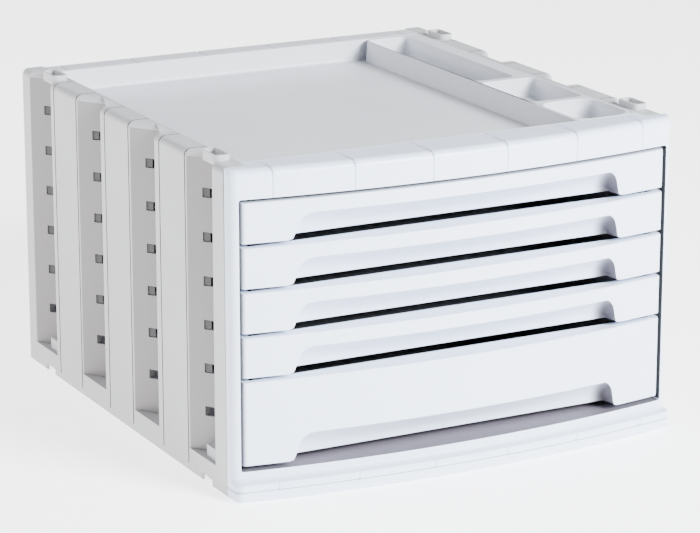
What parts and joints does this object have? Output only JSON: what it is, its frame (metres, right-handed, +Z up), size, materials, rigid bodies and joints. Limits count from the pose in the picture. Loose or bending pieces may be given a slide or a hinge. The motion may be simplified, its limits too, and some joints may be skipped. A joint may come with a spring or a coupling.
{
  "type": "desktop file sorter",
  "caption": "Plastic desktop drawer cabinet with slim drawers, a deep drawer, a paper tray on top and an organiser with pockets for small office supplies.",
  "frame": {"origin": "centre of the bounding box in plan, on the surface it stands on", "axes": "+X to the cabinet's right when facing its front, +Y towards the back, +Z up; the drawers open along -Y"},
  "size_m": [0.335, 0.3734, 0.226],
  "materials": {
    "front_frame": "satin white moulded polystyrene",
    "base_plate": "fine matt light-grey moulded polystyrene",
    "left_side_panel": "fine matt light-grey moulded polystyrene",
    "right_side_panel": "fine matt light-grey moulded polystyrene",
    "back_panel": "fine matt light-grey moulded polystyrene",
    "top_tray": "fine matt light-grey moulded polystyrene",
    "organiser_insert": "fine matt light-grey moulded polystyrene",
    "left_front_foot": "fine matt light-grey moulded polystyrene",
    "left_rear_foot": "fine matt light-grey moulded polystyrene",
    "right_front_foot": "fine matt light-grey moulded polystyrene",
    "right_rear_foot": "fine matt light-grey moulded polystyrene",
    "runner_1_left": "fine matt light-grey moulded polystyrene",
    "runner_1_right": "fine matt light-grey moulded polystyrene",
    "runner_2_left": "fine matt light-grey moulded polystyrene",
    "runner_2_right": "fine matt light-grey moulded polystyrene",
    "runner_3_left": "fine matt light-grey moulded polystyrene",
    "runner_3_right": "fine matt light-grey moulded polystyrene",
    "runner_4_left": "fine matt light-grey moulded polystyrene",
    "runner_4_right": "fine matt light-grey moulded polystyrene",
    "runner_5_left": "fine matt light-grey moulded polystyrene",
    "runner_5_right": "fine matt light-grey moulded polystyrene",
    "drawer_1_tray": "fine matt light-grey moulded polystyrene",
    "drawer_1_front": "satin white moulded polystyrene",
    "drawer_2_tray": "fine matt light-grey moulded polystyrene",
    "drawer_2_front": "satin white moulded polystyrene",
    "drawer_3_tray": "fine matt light-grey moulded polystyrene",
    "drawer_3_front": "satin white moulded polystyrene",
    "drawer_4_tray": "fine matt light-grey moulded polystyrene",
    "drawer_4_front": "satin white moulded polystyrene",
    "drawer_5_tray": "fine matt light-grey moulded polystyrene",
    "drawer_5_front": "satin white moulded polystyrene"
  },
  "bodies": {
    "cabinet": {"front_frame": "front_frame", "base_plate": "base_plate", "left_side_panel": "left_side_panel", "right_side_panel": "right_side_panel", "back_panel": "back_panel", "top_tray": "top_tray", "organiser_insert": "organiser_insert", "left_front_foot": "left_front_foot", "left_rear_foot": "left_rear_foot", "right_front_foot": "right_front_foot", "right_rear_foot": "right_rear_foot", "runner_1_left": "runner_1_left", "runner_1_right": "runner_1_right", "runner_2_left": "runner_2_left", "runner_2_right": "runner_2_right", "runner_3_left": "runner_3_left", "runner_3_right": "runner_3_right", "runner_4_left": "runner_4_left", "runner_4_right": "runner_4_right", "runner_5_left": "runner_5_left", "runner_5_right": "runner_5_right"},
    "drawer_1": {"drawer_1_tray": "drawer_1_tray", "drawer_1_front": "drawer_1_front"},
    "drawer_2": {"drawer_2_tray": "drawer_2_tray", "drawer_2_front": "drawer_2_front"},
    "drawer_3": {"drawer_3_tray": "drawer_3_tray", "drawer_3_front": "drawer_3_front"},
    "drawer_4": {"drawer_4_tray": "drawer_4_tray", "drawer_4_front": "drawer_4_front"},
    "drawer_5": {"drawer_5_tray": "drawer_5_tray", "drawer_5_front": "drawer_5_front"}
  },
  "joints": [
    {"name": "drawer_1_slide", "type": "slide", "parent": "cabinet", "child": "drawer_1", "axis": [0, -1, 0], "range_m": [0, 0.25]},
    {"name": "drawer_2_slide", "type": "slide", "parent": "cabinet", "child": "drawer_2", "axis": [0, -1, 0], "range_m": [0, 0.25]},
    {"name": "drawer_3_slide", "type": "slide", "parent": "cabinet", "child": "drawer_3", "axis": [0, -1, 0], "range_m": [0, 0.25]},
    {"name": "drawer_4_slide", "type": "slide", "parent": "cabinet", "child": "drawer_4", "axis": [0, -1, 0], "range_m": [0, 0.25]},
    {"name": "drawer_5_slide", "type": "slide", "parent": "cabinet", "child": "drawer_5", "axis": [0, -1, 0], "range_m": [0, 0.25]}
  ]
}
